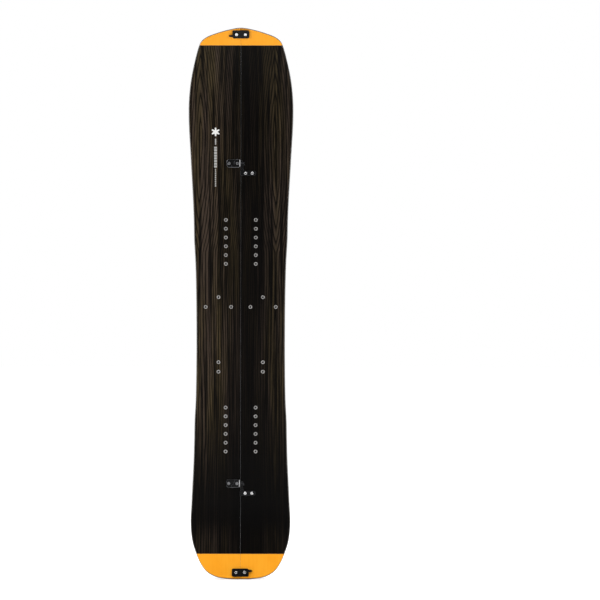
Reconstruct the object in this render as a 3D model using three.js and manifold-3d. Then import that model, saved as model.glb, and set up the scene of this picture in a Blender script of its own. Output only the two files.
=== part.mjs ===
// Splitboard: a snowboard that comes apart lengthwise into two touring skis.
// Frame, in millimetres: the origin is at mid length, on the seam, on the running surface of the
// base. +Z points to the nose, the topsheet faces -Y, the base faces +Y, +X is to the right when
// the topsheet is looked at with the nose up.
import * as THREE from 'three';
import { mergeVertices } from 'three/addons/utils/BufferGeometryUtils.js';
import Module from 'manifold-3d';

const wasm = await Module();
wasm.setup();

// ---- driving dimensions -------------------------------------------------------------------------

// Half outline of the base, nose to tail: [half width, z, segments to the next point]
const OUTLINE = [
  [0, 795, 2], [33, 790, 2], [73, 778.8, 2], [100, 767.8, 2], [114.4, 756.2, 2], [121.2, 743, 3],
  [132.7, 703, 3], [144.6, 645, 3], [150.5, 587, 3], [151, 529, 2], [144.9, 414, 1],
  [138.4, 298, 1], [136.1, 240, 1], [134.8, 182, 1], [131.5, 124, 1], [129.1, 40, 1],
  [127.9, -80, 1], [128, -165, 1], [129.9, -281, 1], [132.8, -338, 1], [134, -396, 1],
  [135.6, -454, 1], [141.1, -570, 4], [144, -636, 4], [139.2, -686, 2], [128.8, -720, 2],
  [115.2, -751, 2], [96.6, -775.2, 2], [67.7, -790.2, 2], [34, -795, 2], [0, -796, 0],
];
const NOSE_CONTACT = 525; // where the base leaves the snow towards the nose
const TAIL_CONTACT = -577;
const NOSE_RISE = 49.27;
const TAIL_RISE = 37.32;

const SEAM = 0.2; // half the gap between the two halves
const BOND = 0.1; // glue line between two layers
const BASE_THICK = 1.35;
const LAMINATE_THICK = 0.55;
const VENEER_THICK = 0.7;
const CORE_THICK = 5.6; // between the bindings
const TIP_THICK = 1.6; // of the tip spacers
const CORE_FULL = [-440, 260]; // stretch of the core at its full thickness
const CORE_ENDS = [-650, 650];
const VENEER_ENDS = [-724.7, 746.1];

const EDGE_WIDTH = 2.1;
const EDGE_HEIGHT = 2;
const SIDEWALL_WIDTH = 9;
const SIDEWALL_BEVEL = 2;
const INNER_SIDEWALL_WIDTH = 5;
const TOP_INSET = 2.2; // the topsheet stays this far inside the base outline

const INSERT_RADIUS = 5.4;
const INSERT_BORE = 2.5; // minor radius of an M6 thread
const INSERT_PITCH = 25.4;
const INSERT_LIFT = 0.6; // the insert starts this far above the bottom of the core
const WEB_WIDTH = 5;
const WEB_THICK = 0.8;
const COLUMN_X = 43.3;
const COLUMN_TOPS = [241.5, -301];
const TOURING_INSERTS = [[27.9, -10.1], [64.2, 18.2], [101.3, -10.1]];
const HEEL_INSERTS = [[64.2, -169.8], [64.2, -197.3]];

const NOSE_CLIP_Z = 778.6;
const TAIL_CLIP_Z = -779.6;
const FRONT_CLIP_Z = 404.7;
const REAR_CLIP_Z = -520.7;
const TIP_REACH = 12.7; // from the seam to each screw of a tip clip
const SLIDE_TILT = 20; // the halves part along a line this many degrees off the seam

// ---- materials ----------------------------------------------------------------------------------

function finish(color, roughness, metalness) {
  return new THREE.MeshStandardMaterial({ color, roughness, metalness });
}

const FINISHES = {
  veneer: finish(0x241c17, 0.4, 0),
  orange: finish(0xf59a1c, 0.35, 0),
  base: finish(0x0b0b0c, 0.2, 0),
  laminate: finish(0xb9b48f, 0.6, 0),
  core: finish(0xc9a36a, 0.7, 0),
  spacer: finish(0x1a1a1c, 0.6, 0),
  edge: finish(0x8f9296, 0.3, 1),
  sidewall: finish(0x2a2927, 0.5, 0),
  insert: finish(0xc4c6c9, 0.3, 1),
  clip: finish(0x101012, 0.45, 0.6),
  screw: finish(0xcfd1d3, 0.25, 1),
};

const board = new THREE.Group();

function add(name, geometry, look, parent = board) {
  const mesh = new THREE.Mesh(geometry, FINISHES[look].clone());
  mesh.name = name;
  parent.add(mesh);
  return mesh;
}

// ---- solids -------------------------------------------------------------------------------------

function solid(geometry) {
  const bare = geometry.clone();
  bare.deleteAttribute('normal');
  bare.deleteAttribute('uv');
  const merged = mergeVertices(bare, 1e-4);
  const vertProperties = new Float32Array(merged.attributes.position.array);
  const triVerts = new Uint32Array(merged.index.array);
  return new wasm.Manifold(new wasm.Mesh({ numProp: 3, vertProperties, triVerts }));
}

function geometryOf(body) {
  const { vertProperties, triVerts } = body.getMesh();
  const geometry = new THREE.BufferGeometry();
  geometry.setAttribute('position', new THREE.BufferAttribute(new Float32Array(vertProperties), 3));
  geometry.setIndex(new THREE.BufferAttribute(new Uint32Array(triVerts), 1));
  geometry.computeVertexNormals();
  return geometry;
}

function cut(geometry, cutters) {
  let body = solid(geometry);
  for (const cutter of cutters) {
    body = body.subtract(solid(cutter));
  }
  return geometryOf(body);
}

function join(geometries) {
  let body = solid(geometries[0]);
  for (const geometry of geometries.slice(1)) {
    body = body.add(solid(geometry));
  }
  return geometryOf(body);
}

// A post standing on the topsheet: it runs from height low to height high, along -Y.
function post(radius, low, high, sides, x = 0, z = 0) {
  const geometry = new THREE.CylinderGeometry(radius, radius, high - low, sides);
  geometry.translate(0, -(low + high) / 2, 0);
  return geometry.translate(x, 0, z);
}

// A flat outline in X and Z given thickness, from height low to height high above the topsheet.
function slab(outline, low, high) {
  const shape = new THREE.Shape(outline.map(([x, z]) => new THREE.Vector2(x, z)));
  const geometry = new THREE.ExtrudeGeometry(shape, { depth: high - low, bevelEnabled: false });
  geometry.rotateX(Math.PI / 2);
  return geometry.translate(0, -low, 0);
}

function roundedBox(x0, x1, z0, z1, radius) {
  const corners = [[x1, z0, -90], [x1, z1, 0], [x0, z1, 90], [x0, z0, 180]];
  const points = [];
  for (const [x, z, start] of corners) {
    const cx = x === x1 ? x1 - radius : x0 + radius;
    const cz = z === z1 ? z1 - radius : z0 + radius;
    points.push(...arc(cx, cz, radius, start, start + 90, 3));
  }
  return points;
}

function arc(cx, cz, radius, from, to, steps) {
  const points = [];
  for (let i = 0; i <= steps; i += 1) {
    const angle = THREE.MathUtils.degToRad(from + ((to - from) * i) / steps);
    points.push([cx + radius * Math.cos(angle), cz + radius * Math.sin(angle)]);
  }
  return points;
}

function mirrored(outline, side) {
  const points = outline.map(([x, z]) => [side * x, z]);
  return side < 0 ? points.reverse() : points;
}

// ---- board shape --------------------------------------------------------------------------------

// The outline is one closed smooth curve through the half outline and its mirror image.
function outlineStations() {
  const right = OUTLINE.map(([x, z]) => new THREE.Vector3(x, 0, z));
  const left = right.slice(1, -1).reverse().map((p) => new THREE.Vector3(-p.x, 0, p.z));
  const curve = new THREE.CatmullRomCurve3([...right, ...left], true, 'centripetal');
  const spans = right.length + left.length;
  const stations = [];
  OUTLINE.forEach(([, , steps], index) => {
    for (let i = 0; i < Math.max(steps, 1); i += 1) {
      const t = (index + i / Math.max(steps, 1)) / spans;
      const point = curve.getPoint(t);
      const along = curve.getTangent(t);
      stations.push({ x: point.x, z: point.z, nx: -along.z, nz: along.x });
    }
  });
  return stations;
}

const STATIONS = outlineStations();

// Height of the running surface above the snow at z, towards the topsheet.
function rise(z) {
  if (z > NOSE_CONTACT) {
    return NOSE_RISE * ((z - NOSE_CONTACT) / (OUTLINE[0][1] - NOSE_CONTACT)) ** 2;
  }
  if (z < TAIL_CONTACT) {
    return TAIL_RISE * ((z - TAIL_CONTACT) / (OUTLINE.at(-1)[1] - TAIL_CONTACT)) ** 2;
  }
  return 0;
}

function coreThickness(z) {
  const nose = (z - CORE_FULL[1]) / (CORE_ENDS[1] - CORE_FULL[1]);
  const tail = (CORE_FULL[0] - z) / (CORE_FULL[0] - CORE_ENDS[0]);
  const taper = THREE.MathUtils.clamp(Math.max(nose, tail), 0, 1);
  return THREE.MathUtils.lerp(CORE_THICK, TIP_THICK, taper);
}

// Levels of the layers above the running surface, as functions of z
const LAMINATE_LOW = BASE_THICK + BOND;
const CORE_LOW = LAMINATE_LOW + LAMINATE_THICK + BOND;
const coreTop = (z) => CORE_LOW + coreThickness(z);
const upperLow = (z) => coreTop(z) + BOND;
const upperTop = (z) => upperLow(z) + LAMINATE_THICK;
const veneerLow = (z) => upperTop(z) + BOND;
const boardTop = (z) => veneerLow(z) + VENEER_THICK;

// The point of the board that is level above the running surface, square to it.
function place(x, z, level) {
  const slope = (rise(z + 0.5) - rise(z - 0.5));
  const length = Math.hypot(1, slope);
  return new THREE.Vector3(x, -rise(z) - level / length, z - (level * slope) / length);
}

// A closed solid through a row of four-cornered sections, with a cap at each end.
function loft(sections, side) {
  const position = [];
  const index = [];
  for (const section of sections) {
    section.forEach((corner) => position.push(side * corner.x, corner.y, corner.z));
  }
  const quad = (a, b, c, d) => index.push(...(side > 0 ? [a, b, c, a, c, d] : [a, c, b, a, d, c]));
  for (let row = 0; row + 1 < sections.length; row += 1) {
    for (let k = 0; k < 4; k += 1) {
      const next = (k + 1) % 4;
      quad(row * 4 + k, row * 4 + next, row * 4 + 4 + next, row * 4 + 4 + k);
    }
  }
  const last = position.length / 3 - 4;
  quad(0, 3, 2, 1);
  quad(last, last + 1, last + 2, last + 3);
  const geometry = new THREE.BufferGeometry();
  geometry.setAttribute('position', new THREE.Float32BufferAttribute(position, 3));
  geometry.setIndex(index);
  geometry.computeVertexNormals();
  return geometry;
}

function inset(station, distance) {
  return {
    x: Math.max(station.x - distance * station.nx, SEAM),
    z: station.z - distance * station.nz,
  };
}

// Rows of an outline inset by distance, cut off level at zLow and zHigh.
function rowsBetween(distance, zLow, zHigh) {
  const all = STATIONS.map((station) => inset(station, distance));
  const rows = [];
  all.forEach((row, i) => {
    const next = all[i + 1];
    if (row.z < zHigh && row.z > zLow) {
      rows.push(row);
    }
    const limits = next ? [zHigh, zLow].filter((z) => row.z >= z && next.z < z) : [];
    for (const z of limits) {
      rows.push({ x: THREE.MathUtils.mapLinear(z, row.z, next.z, row.x, next.x), z });
    }
  });
  return rows;
}

// A layer that fills one half from the seam side to the outline.
function layer(side, innerX, distance, low, high, zLow = -1e3, zHigh = 1e3) {
  const rows = rowsBetween(distance, zLow, zHigh).filter((row) => row.x > innerX + 0.6);
  const sections = rows.map(({ x, z }) => [
    place(innerX, z, low(z)), place(x, z, low(z)), place(x, z, high(z)), place(innerX, z, high(z)),
  ]);
  return loft(sections, side);
}

// A strip that follows the outline: its outer face leans from one inset to another.
function outlineStrip(side, outerLow, outerHigh, inner, low, high, zLow = -1e3, zHigh = 1e3) {
  const within = STATIONS.filter(({ z }) => z >= zLow && z <= zHigh);
  const sections = within.map((station) => {
    const corner = (distance, level) => {
      const { x, z } = inset(station, distance);
      return place(x, z, level(z));
    };
    return [corner(inner, low), corner(outerLow, low), corner(outerHigh, high), corner(inner, high)];
  });
  return loft(sections, side);
}

// A straight strip along the seam.
function seamStrip(side, width, low, high, zLow, zHigh) {
  const inside = STATIONS.map(({ z }) => z).filter((z) => z < zHigh - 2 && z > zLow + 2);
  const sections = [zHigh, ...inside, zLow].map((z) => [
    place(SEAM, z, low(z)), place(SEAM + width, z, low(z)),
    place(SEAM + width, z, high(z)), place(SEAM, z, high(z)),
  ]);
  return loft(sections, side);
}

// ---- places on the topsheet ---------------------------------------------------------------------

// A group that lies on the topsheet at z, its -Y pointing squarely out of the surface.
function topsheetFrame(z) {
  const group = new THREE.Group();
  const ahead = place(0, z + 5, boardTop(z + 5));
  const behind = place(0, z - 5, boardTop(z - 5));
  group.position.copy(place(0, z, boardTop(z)));
  group.rotation.x = Math.atan2(behind.y - ahead.y, ahead.z - behind.z);
  group.updateMatrix();
  return group;
}

const ON_TOPSHEET = {
  nose: topsheetFrame(NOSE_CLIP_Z),
  tail: topsheetFrame(TAIL_CLIP_Z),
  front: topsheetFrame(FRONT_CLIP_Z),
  rear: topsheetFrame(REAR_CLIP_Z),
};
ON_TOPSHEET.tail.rotateY(Math.PI);
ON_TOPSHEET.tail.updateMatrix();
Object.values(ON_TOPSHEET).forEach((group) => board.add(group));

// ---- screws and their holes ---------------------------------------------------------------------

const HEAD_RADIUS = 4.4;
const HEAD_HEIGHT = 2.2;
const SHANK_RADIUS = 2.2;
const SOCKET_RADIUS = 1.7;
const SOCKET_DEPTH = 1.3;
const SCREW_SIDES = 8;
const HOLE_GAP = 0.5;

// A pan head screw with its head seated at height seat and its end at height end.
function screw(seat, end, x, z) {
  const top = seat + HEAD_HEIGHT;
  const profile = [
    [0, end], [SHANK_RADIUS, end], [SHANK_RADIUS, seat], [HEAD_RADIUS, seat],
    [HEAD_RADIUS, top - 0.7], [HEAD_RADIUS - 0.9, top], [SOCKET_RADIUS, top],
    [SOCKET_RADIUS, top - SOCKET_DEPTH], [0, top - SOCKET_DEPTH],
  ];
  const geometry = new THREE.LatheGeometry(
    profile.map(([radius, height]) => new THREE.Vector2(radius, height)),
    SCREW_SIDES,
  );
  return geometry.rotateX(Math.PI).translate(x, 0, z);
}

// Hole cutters for the board under a clip, at [x, z] in the clip's own frame.
function boardHoles(clip, depth, points) {
  return points.map(([x, z]) => {
    const cutter = post(SHANK_RADIUS + HOLE_GAP, -depth, 3, 8, x, z);
    return cutter.applyMatrix4(ON_TOPSHEET[clip].matrix);
  });
}

const TIP_SCREW_DEPTH = 2.7;
const MID_SCREW_DEPTH = 4.5;

// ---- tip clips ----------------------------------------------------------------------------------

const TIP_PAD = [0.5, 2.4]; // heights of the two pads above the topsheet
const TIP_HOOK = [2.8, 5];
const STUD_RADIUS = 3.9;
const MOUTH_RADIUS = STUD_RADIUS + 0.8;
const PIVOT_GAP = 0.5;

// The closed hook turns on the right screw and grips the stud of the left half from below. Its
// mouth opens upwards, wide enough for the stud to leave along the parting line as well.
function tipHookOutline() {
  const outer = [
    [-24.4, -9], [-21, -12], [21, -12], [24.4, -9], [24.4, 9], [21, 12], [-4.2, 12], [-7.1, 6],
  ];
  const crotch = arc(-TIP_REACH, 0, MOUTH_RADIUS, 0, SLIDE_TILT - 180, 5);
  const finger = [[-21.7, 10.9], [-23.4, 11.2], [-24.6, 9], [-24.6, -1.8]];
  const tab = [[-33.5, -2.6], [-35.3, -4.8], [-33.5, -7.2]];
  return [...outer, ...crotch, ...finger, ...tab];
}

function tipClip(end) {
  const group = ON_TOPSHEET[end];
  const pad = (side) => slab(mirrored(roundedBox(1, 24, -11, 11, 4), side), ...TIP_PAD);
  const screwHole = (x) => post(SHANK_RADIUS + HOLE_GAP, -1, 9, 10, x);
  const stud = post(STUD_RADIUS, TIP_PAD[0] + 0.5, TIP_HOOK[1] + 0.4, 14, -TIP_REACH);
  const pivotHole = post(SHANK_RADIUS + PIVOT_GAP, 0, 9, 12, TIP_REACH);
  add(`${end}_hook_pad`, cut(pad(1), [screwHole(TIP_REACH)]), 'clip', group);
  add(`${end}_hook`, cut(slab(tipHookOutline(), ...TIP_HOOK), [pivotHole]), 'clip', group);
  add(`${end}_pivot_screw`, screw(5.4, -TIP_SCREW_DEPTH + 0.4, TIP_REACH, 0), 'screw', group);
  add(`${end}_stud_pad`, cut(join([pad(-1), stud]), [screwHole(-TIP_REACH)]), 'clip', group);
  add(`${end}_stud_screw`, screw(5.8, -TIP_SCREW_DEPTH + 0.4, -TIP_REACH, 0), 'screw', group);
}

tipClip('nose');
tipClip('tail');

// ---- clips between tips and bindings ------------------------------------------------------------

const MID_PLATE = [0.3, 2.5];
const MID_HOOK = [2.9, 5.2];
const HOOK_PIVOT_X = -10.1;
const HOOK_SCREW_X = -34.1;
const PIN_X = 3.4;
const PIN_RADIUS = 1.9;
const CATCH_DROP = 28; // from the hook's screws down to the catch's screws
const CATCH_SCREWS = [13.3, 32.7];

// The hook crosses the seam above the pin of the right half and curls down outside it; its flared
// finger lets the pin leave downwards, and also along the parting line.
const MID_HOOK_OUTLINE = [
  [-20.5, -2.5], [-27.4, -6.6], [-28.2, -9.6], [-26, -11.3], [-7.5, -10.8], [-3, -9], [-1, -6.2],
  [0.3, -3], [0.8, 0], [1.5, 1.9], [3.4, 2.8], [5.3, 1.9], [5.9, 0], [8.8, -5.2], [10.6, -5.2],
  [11, -3.2], [8.2, 2.6], [5, 6.5], [-2, 10.5], [-12, 11], [-18, 8],
];
const CATCH_OUTLINE = [
  [1, -21.5], [-2, -22.5], [-2, -34], [0, -35.3], [40.4, -35.3], [43.4, -32.3], [43.4, -24.3],
  [40.4, -21.3], [11, -21.3], [6.6, -17], [6.6, 3.6], [5, 5.2], [1.8, 5.2], [1, 4.4],
];

function midClip(where) {
  const group = ON_TOPSHEET[where];
  const hole = (x, z) => post(SHANK_RADIUS + HOLE_GAP, -1, 9, 10, x, z);
  const bed = slab(roundedBox(-40.8, -1, -11.7, 11.7, 6), ...MID_PLATE);
  const pin = post(PIN_RADIUS, MID_PLATE[0] + 1, MID_HOOK[1] + 0.5, 12, PIN_X);
  const plate = join([slab(CATCH_OUTLINE, ...MID_PLATE), pin]);
  const catchHoles = CATCH_SCREWS.map((x) => hole(x, -CATCH_DROP));
  const end = 0.6 - MID_SCREW_DEPTH;
  const bedHoles = [hole(HOOK_PIVOT_X, 0), hole(HOOK_SCREW_X, 0)];
  const hook = slab(MID_HOOK_OUTLINE, ...MID_HOOK);
  add(`${where}_hook_bed`, cut(bed, bedHoles), 'clip', group);
  add(`${where}_hook`, cut(hook, [hole(HOOK_PIVOT_X, 0)]), 'clip', group);
  add(`${where}_pivot_screw`, screw(5.6, end, HOOK_PIVOT_X, 0), 'screw', group);
  add(`${where}_bed_screw`, screw(2.9, end, HOOK_SCREW_X, 0), 'screw', group);
  add(`${where}_catch`, cut(plate, catchHoles), 'clip', group);
  add(`${where}_catch_screw_inner`, screw(2.9, end, CATCH_SCREWS[0], -CATCH_DROP), 'screw', group);
  add(`${where}_catch_screw_outer`, screw(2.9, end, CATCH_SCREWS[1], -CATCH_DROP), 'screw', group);
}

midClip('front');
midClip('rear');

// ---- threaded inserts ---------------------------------------------------------------------------

const columns = COLUMN_TOPS.map(
  (top) => Array.from({ length: 6 }, (_, i) => [COLUMN_X, top - i * INSERT_PITCH]),
);
const INSERTS = {
  front_binding_inserts: columns[0],
  rear_binding_inserts: columns[1],
  touring_inserts: TOURING_INSERTS,
  heel_inserts: HEEL_INSERTS,
};

// A strip in plan between two inserts, from level low to level high above the running surface.
function link([xa, za], [xb, zb], width, low, high) {
  const length = Math.hypot(xb - xa, zb - za);
  const bar = new THREE.BoxGeometry(length, high - low, width);
  bar.rotateY(-Math.atan2(zb - za, xb - xa));
  return bar.translate((xa + xb) / 2, -(low + high) / 2, (za + zb) / 2);
}

function links(points, width, low, high) {
  return points.slice(1).map((point, i) => link(points[i], point, width, low, high));
}

// A row of inserts on one thin steel web that lies in the bottom of the core.
function insertRow(points) {
  const low = CORE_LOW + INSERT_LIFT;
  const barrels = points.map(([x, z]) => post(INSERT_RADIUS, low, boardTop(0), 8, x, z));
  const bores = points.map(([x, z]) => post(INSERT_BORE, low + 1, 12, 8, x, z));
  return cut(join([...barrels, ...links(points, WEB_WIDTH, low, low + WEB_THICK)]), bores);
}

function sided(points, side) {
  return points.map(([x, z]) => [side * x, z]);
}

// ---- the two halves -----------------------------------------------------------------------------

const flat = (level) => () => level;
const VENEER_HOLE = INSERT_RADIUS + 0.7;
const HIDDEN_HOLE = 6.9; // six-sided, so it clears the insert at its flats

function insertHoles(side, radius, sides) {
  return Object.values(INSERTS).flat().map(([x, z]) => post(radius, 1, 12, sides, side * x, z));
}

function clipHoles(side, clips) {
  const midPoints = side < 0
    ? [[HOOK_PIVOT_X, 0], [HOOK_SCREW_X, 0]]
    : CATCH_SCREWS.map((x) => [x, -CATCH_DROP]);
  return clips.flatMap((clip) => {
    if (clip === 'front' || clip === 'rear') {
      return boardHoles(clip, MID_SCREW_DEPTH, midPoints);
    }
    const turned = clip === 'tail' ? -1 : 1;
    return boardHoles(clip, TIP_SCREW_DEPTH, [[turned * side * TIP_REACH, 0]]);
  });
}

function coreWithPockets(side) {
  const inner = SEAM + INNER_SIDEWALL_WIDTH + BOND;
  const core = layer(side, inner, SIDEWALL_WIDTH + BOND, flat(CORE_LOW), coreTop, ...CORE_ENDS);
  const top = CORE_LOW + INSERT_LIFT + WEB_THICK + 0.3;
  const slots = Object.values(INSERTS).flatMap((p) => links(sided(p, side), WEB_WIDTH + 0.8, 1, top));
  const holes = [...insertHoles(side, HIDDEN_HOLE, 6), ...clipHoles(side, ['front', 'rear'])];
  return cut(core, [...slots, ...holes]);
}

function half(side, name) {
  const label = (part) => `${name}_${part}`;
  const seam = SEAM + EDGE_WIDTH + BOND;
  const inEdge = EDGE_WIDTH + BOND;
  const [coreTail, coreNose] = CORE_ENDS;
  const [veneerTail, veneerNose] = VENEER_ENDS;
  const seamEnds = [OUTLINE.at(-1)[1] + EDGE_WIDTH + 0.5, OUTLINE[0][1] - EDGE_WIDTH - 0.5];

  add(label('base'), layer(side, seam, inEdge, flat(0), flat(BASE_THICK)), 'base');
  add(label('outer_edge'), outlineStrip(side, 0, 0, EDGE_WIDTH, flat(0), flat(EDGE_HEIGHT)), 'edge');
  add(label('seam_edge'), seamStrip(side, EDGE_WIDTH, flat(0), flat(EDGE_HEIGHT), ...seamEnds), 'edge');
  const lowerTop = LAMINATE_LOW + LAMINATE_THICK;
  const lower = layer(side, seam, inEdge, flat(LAMINATE_LOW), flat(lowerTop));
  add(label('lower_laminate'), lower, 'laminate');

  const wall = outlineStrip(
    side, 0.2, SIDEWALL_BEVEL, SIDEWALL_WIDTH, flat(CORE_LOW), coreTop, coreTail + 1, coreNose - 1,
  );
  add(label('outer_sidewall'), wall, 'sidewall');
  const seamWall = seamStrip(side, INNER_SIDEWALL_WIDTH, flat(CORE_LOW), coreTop, coreTail, coreNose);
  add(label('seam_sidewall'), seamWall, 'sidewall');
  add(label('core'), coreWithPockets(side), 'core');

  const spacer = (zLow, zHigh) => layer(side, SEAM, TOP_INSET, flat(CORE_LOW), coreTop, zLow, zHigh);
  const noseSpacer = spacer(coreNose + 0.5, 1e3);
  const tailSpacer = spacer(-1e3, coreTail - 0.5);
  add(label('nose_spacer'), cut(noseSpacer, clipHoles(side, ['nose'])), 'spacer');
  add(label('tail_spacer'), cut(tailSpacer, clipHoles(side, ['tail'])), 'spacer');

  const everyClip = clipHoles(side, ['nose', 'front', 'rear', 'tail']);
  const upper = layer(side, SEAM, TOP_INSET, upperLow, upperTop);
  const upperHoles = [...insertHoles(side, HIDDEN_HOLE, 6), ...everyClip];
  add(label('upper_laminate'), cut(upper, upperHoles), 'laminate');
  const veneer = layer(side, SEAM, TOP_INSET, veneerLow, boardTop, ...VENEER_ENDS);
  const veneerHoles = [...insertHoles(side, VENEER_HOLE, 8), ...clipHoles(side, ['front', 'rear'])];
  add(label('topsheet'), cut(veneer, veneerHoles), 'veneer');
  const noseInlay = layer(side, SEAM, TOP_INSET, veneerLow, boardTop, veneerNose + BOND, 1e3);
  const tailInlay = layer(side, SEAM, TOP_INSET, veneerLow, boardTop, -1e3, veneerTail - BOND);
  add(label('nose_inlay'), cut(noseInlay, clipHoles(side, ['nose'])), 'orange');
  add(label('tail_inlay'), cut(tailInlay, clipHoles(side, ['tail'])), 'orange');

  for (const [row, points] of Object.entries(INSERTS)) {
    add(label(row), insertRow(sided(points, side)), 'insert');
  }
}

half(-1, 'left');
half(1, 'right');

export default board;
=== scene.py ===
import math
import bmesh
import bpy
import numpy as np
from mathutils import Matrix, Vector


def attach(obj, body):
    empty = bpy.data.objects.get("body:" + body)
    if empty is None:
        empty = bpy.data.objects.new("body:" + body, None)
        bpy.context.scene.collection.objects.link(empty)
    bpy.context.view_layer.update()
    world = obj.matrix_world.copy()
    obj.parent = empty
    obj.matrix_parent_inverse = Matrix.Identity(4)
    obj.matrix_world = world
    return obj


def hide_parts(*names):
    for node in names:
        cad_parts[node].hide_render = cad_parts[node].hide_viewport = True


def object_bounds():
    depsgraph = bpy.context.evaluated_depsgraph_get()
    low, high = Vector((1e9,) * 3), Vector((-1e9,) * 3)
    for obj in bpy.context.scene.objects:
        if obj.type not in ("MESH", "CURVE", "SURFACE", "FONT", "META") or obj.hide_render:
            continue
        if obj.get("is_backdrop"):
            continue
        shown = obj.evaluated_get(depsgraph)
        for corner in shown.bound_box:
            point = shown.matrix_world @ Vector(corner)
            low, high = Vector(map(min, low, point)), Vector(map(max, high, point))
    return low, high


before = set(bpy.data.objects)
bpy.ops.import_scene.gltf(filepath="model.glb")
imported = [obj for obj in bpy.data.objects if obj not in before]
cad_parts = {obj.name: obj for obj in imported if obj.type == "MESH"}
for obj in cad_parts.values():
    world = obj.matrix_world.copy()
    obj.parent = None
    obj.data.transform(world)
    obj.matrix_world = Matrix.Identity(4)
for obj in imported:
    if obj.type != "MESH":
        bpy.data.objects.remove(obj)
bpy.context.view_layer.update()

mm = 0.001


board = {
    # half width and height along the board, nose to tail, in millimetres
    "outline": [(0, 795), (33, 790), (73, 778.8), (100, 767.8), (114.4, 756.2), (121.2, 743),
                (132.7, 703), (144.6, 645), (150.5, 587), (151, 529), (144.9, 414), (138.4, 298),
                (136.1, 240), (134.8, 182), (131.5, 124), (129.1, 40), (127.9, -80), (128, -165),
                (129.9, -281), (132.8, -338), (134, -396), (135.6, -454), (141.1, -570),
                (144, -636), (139.2, -686), (128.8, -720), (115.2, -751), (96.6, -775.2),
                (67.7, -790.2), (34, -795), (0, -796)],
    "rowsPerSpan": 12,
    "noseContact": 525, "noseTip": 795, "noseRise": 49.27,
    "tailContact": -577, "tailTip": -796, "tailRise": 37.32,
    "coreThick": 5.6, "tipThick": 1.6,
    "coreFull": (-440, 260), "coreEnds": (-650, 650), "veneerEnds": (-724.7, 746.1),
    "baseThick": 1.35, "laminateThick": 0.55, "veneerThick": 0.7, "bond": 0.1,
    "seam": 0.2, "seamFace": 0.03,  # the edges' and the upper layers' distance from the seam
    "edgeWidth": 2.1, "edgeHeight": 2.0,
}


beyond = 1000.0  # past either tip, for a layer that runs out to the outline


def closedCurve(points, perSpan):
    # Centripetal Catmull-Rom through a closed ring: each span is a cubic whose end slopes come from
    # the neighbouring points, weighted by the square roots of the distances between them.
    p1 = np.array(points, float)
    p0, p2, p3 = np.roll(p1, 1, 0), np.roll(p1, -1, 0), np.roll(p1, -2, 0)
    pairs = ((p0, p1), (p1, p2), (p2, p3))
    d0, d1, d2 = (np.sqrt(np.linalg.norm(b - a, axis=1))[:, None] for a, b in pairs)
    m1 = ((p1 - p0) / d0 - (p2 - p0) / (d0 + d1) + (p2 - p1) / d1) * d1
    m2 = ((p2 - p1) / d1 - (p3 - p1) / (d1 + d2) + (p3 - p2) / d2) * d1
    t = np.linspace(0, 1, perSpan, endpoint=False)[None, :, None]
    terms = (p1, m1, -3 * p1 + 3 * p2 - 2 * m1 - m2, 2 * p1 - 2 * p2 + m1 + m2)
    a, b, c, d = (v[:, None, :] for v in terms)
    point = a + b * t + c * t ** 2 + d * t ** 3
    slope = b + 2 * c * t + 3 * d * t ** 2
    return point.reshape(-1, 2), slope.reshape(-1, 2)


def halfOutline():
    # Points of the right half from nose to tail, with the outward normal at each
    right = board["outline"]
    ring = right + [(-x, z) for x, z in right[-2:0:-1]]
    point, slope = closedCurve(ring, board["rowsPerSpan"])
    count = (len(right) - 1) * board["rowsPerSpan"] + 1
    along = slope[:count] / np.linalg.norm(slope[:count], axis=1)[:, None]
    return point[:count], np.stack([-along[:, 1], along[:, 0]], axis=1)


outlinePoint, outlineNormal = halfOutline()


def rise(z):
    # The running surface is flat between the contact lines and a parabola beyond each
    nose = np.clip((z - board["noseContact"]) / (board["noseTip"] - board["noseContact"]), 0, None)
    tail = np.clip((z - board["tailContact"]) / (board["tailTip"] - board["tailContact"]), 0, None)
    return board["noseRise"] * nose ** 2 + board["tailRise"] * tail ** 2


def coreThickness(z):
    # Full along the middle, then thinning evenly to each tip
    full, ends = board["coreFull"], board["coreEnds"]
    taper = np.maximum((z - full[1]) / (ends[1] - full[1]), (full[0] - z) / (full[0] - ends[0]))
    return board["coreThick"] + (board["tipThick"] - board["coreThick"]) * np.clip(taper, 0, 1)


laminateLow = board["baseThick"] + board["bond"]
coreLow = laminateLow + board["laminateThick"] + board["bond"]


def level(value):
    # A layer's face at one height all along the board
    return lambda z: value + 0 * z


def coreTop(z):
    return coreLow + coreThickness(z)


def upperLow(z):
    return coreTop(z) + board["bond"]


def upperTop(z):
    return upperLow(z) + board["laminateThick"]


def veneerLow(z):
    return upperTop(z) + board["bond"]


def boardTop(z):
    return veneerLow(z) + board["veneerThick"]


def place(x, z, height):
    # A point at a height square to the running surface; the topsheet faces -Y
    slope = rise(z + 0.5) - rise(z - 0.5)
    length = np.hypot(1, slope)
    return np.stack([x, -rise(z) - height / length, z - height * slope / length], axis=-1)


layerSharp = 35  # degrees past which a layer's corner stays hard


def makePiece(nodeName, verts, faces, material, body, sharpAngle):
    # A finished piece that takes the place of the CAD node it is named after
    name = f"{nodeName}_finished"
    mesh = bpy.data.meshes.new(name)
    mesh.from_pydata(verts.reshape(-1, 3).tolist(), [], faces)
    mesh.validate()
    obj = bpy.data.objects.new(name, mesh)
    bpy.context.scene.collection.objects.link(obj)
    mesh.materials.append(material)
    tidyMesh(mesh, sharpAngle)
    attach(obj, body)
    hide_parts(nodeName)
    return obj


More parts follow.
